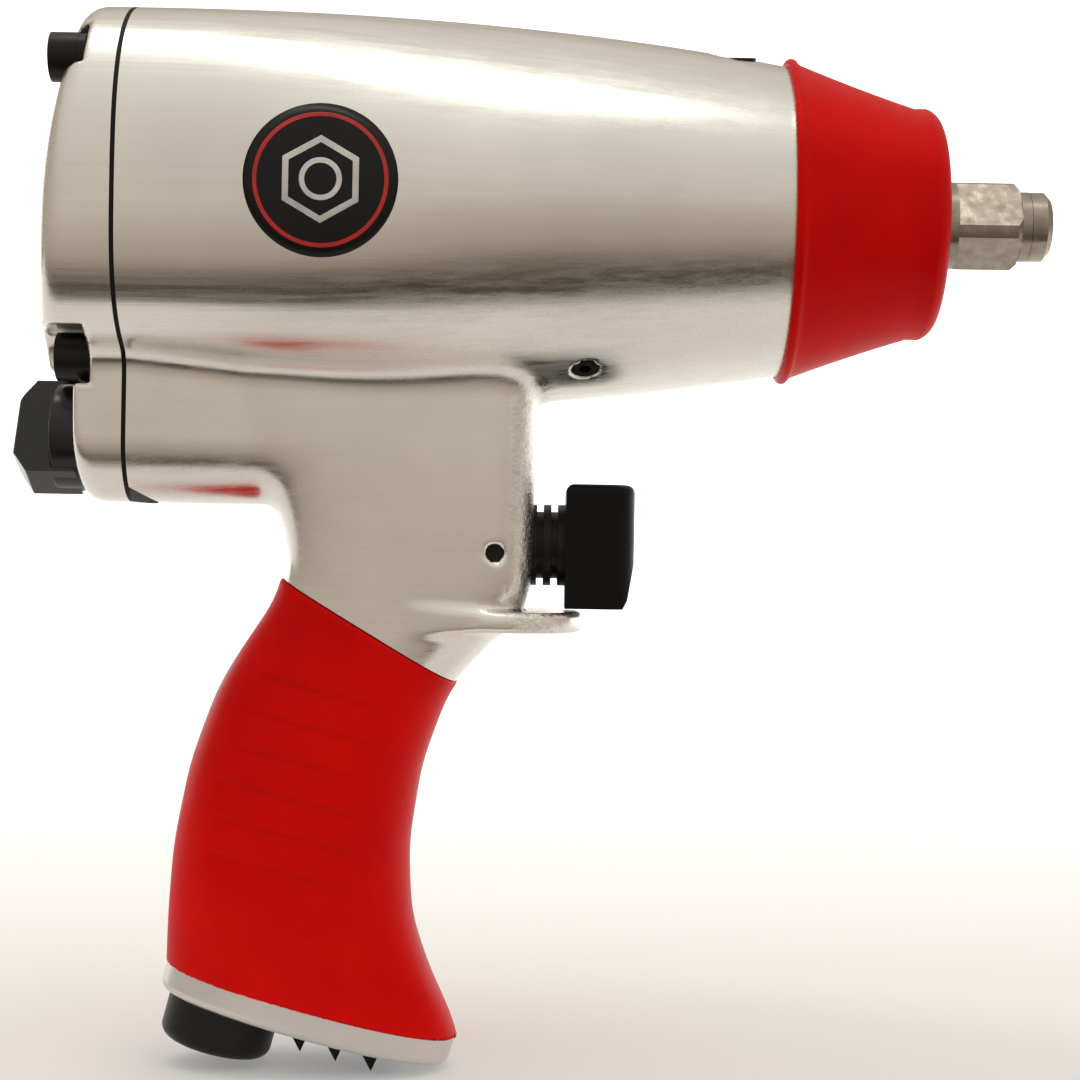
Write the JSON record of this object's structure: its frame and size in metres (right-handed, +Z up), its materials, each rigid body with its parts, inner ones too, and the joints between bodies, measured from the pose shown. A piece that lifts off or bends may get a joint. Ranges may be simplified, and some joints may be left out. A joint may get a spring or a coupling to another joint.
{
  "type": "pneumatic impact wrench",
  "caption": "Pistol-grip air impact wrench with square drive anvil, twin hammers, vane motor, tilt throttle valve and reverse valve knob.",
  "frame": {"origin": "on the spindle axis, at the shoulder where the square drive begins", "axes": "+X forward along the spindle, +Z up away from the handle, +Y to the tool's left"},
  "size_m": [0.1878, 0.0729, 0.1902],
  "materials": {
    "polished_aluminium": "satin brushed",
    "cast_aluminium": "machined",
    "red_rubber": "satin",
    "black_seal": "matte",
    "black_oxide": "black oxide",
    "black_plastic": "matte",
    "gloss_black_plastic": "gloss",
    "label": "printed film",
    "muffler_felt": "felt",
    "brass": "machined",
    "vane_resin": "phenolic laminate",
    "anvil_steel": "machined and heat treated",
    "machined_steel": "ground"
  },
  "bodies": {
    "housing": {"motor_housing": "polished_aluminium", "rear_cover": "polished_aluminium", "rear_gasket": "black_seal", "rear_cover_screws": "black_oxide", "rear_lock_washers": "black_oxide", "nose_boot": "red_rubber", "grip_sleeve": "red_rubber", "base_plate": "cast_aluminium", "inlet_bushing": "black_oxide", "inlet_strainer": "brass", "exhaust_deflector": "black_plastic", "exhaust_muffler": "muffler_felt", "label_disc": "label", "oil_plug": "black_oxide", "nose_plug": "black_oxide", "rear_end_plate": "cast_aluminium", "front_end_plate": "cast_aluminium", "cylinder_liner": "machined_steel", "cylinder_dowel": "machined_steel", "rear_bearing_outer": "machined_steel", "rear_bearing_balls": "machined_steel", "front_bearing_outer": "machined_steel", "front_bearing_balls": "machined_steel", "anvil_bushing": "brass", "thrust_washer": "brass", "nose_seal": "black_seal", "trigger_pin": "black_oxide", "valve_seat": "brass", "valve_spring": "machined_steel", "reverse_valve_sleeve": "machined_steel", "detent_spring": "machined_steel", "detent_ball": "machined_steel"},
    "rotor_group": {"rotor": "machined_steel", "rotor_vanes": "vane_resin", "rear_bearing_inner": "machined_steel", "front_bearing_inner": "machined_steel", "hammer_frame": "machined_steel", "hammer_pins": "machined_steel"},
    "rear_hammer": {"hammer_rear": "machined_steel"},
    "front_hammer": {"hammer_front": "machined_steel"},
    "anvil_group": {"anvil": "anvil_steel", "socket_ring": "anvil_steel", "ring_cushion": "black_seal"},
    "trigger": {"trigger_head": "black_plastic", "trigger_plunger": "black_oxide", "trigger_seal": "black_seal"},
    "tilt_valve": {"throttle_valve": "brass", "valve_facing": "black_seal"},
    "reverse_valve": {"reverse_valve_spool": "brass", "spool_seals": "black_seal", "reverse_knob": "gloss_black_plastic", "knob_screw": "machined_steel"}
  },
  "joints": [
    {"name": "rotor_spin", "type": "hinge", "parent": "housing", "child": "rotor_group", "pos_m": [-0.12, 0, 0], "axis": [1, 0, 0], "continuous": true},
    {"name": "rear_hammer_rock", "type": "hinge", "parent": "rotor_group", "child": "rear_hammer", "pos_m": [-0.075, 0, 0.0208], "axis": [1, 0, 0], "range_deg": [-1.4, 1.4]},
    {"name": "front_hammer_rock", "type": "hinge", "parent": "rotor_group", "child": "front_hammer", "pos_m": [-0.058, 0, -0.0208], "axis": [1, 0, 0], "range_deg": [-1.4, 1.4]},
    {"name": "anvil_spin", "type": "hinge", "parent": "housing", "child": "anvil_group", "pos_m": [-0.022, 0, 0], "axis": [1, 0, 0], "continuous": true},
    {"name": "trigger_pull", "type": "slide", "parent": "housing", "child": "trigger", "axis": [-1, 0, 0], "range_m": [0, 0.0045], "stiffness_N_per_m": 1500, "springref_m": -0.003},
    {"name": "valve_tilt", "type": "hinge", "parent": "housing", "child": "tilt_valve", "pos_m": [-0.0979, 0, -0.08441], "axis": [0, -1, 0], "range_deg": [0, 10.3], "deforming": ["valve_spring"]},
    {"name": "reverse_turn", "type": "hinge", "parent": "housing", "child": "reverse_valve", "pos_m": [-0.15, 0, -0.0416], "axis": [1, 0, 0], "range_deg": [0, 90]}
  ],
  "couplings": [
    {"joint": "valve_tilt", "follows": "trigger_pull", "rad_per_m": 39.561}
  ]
}
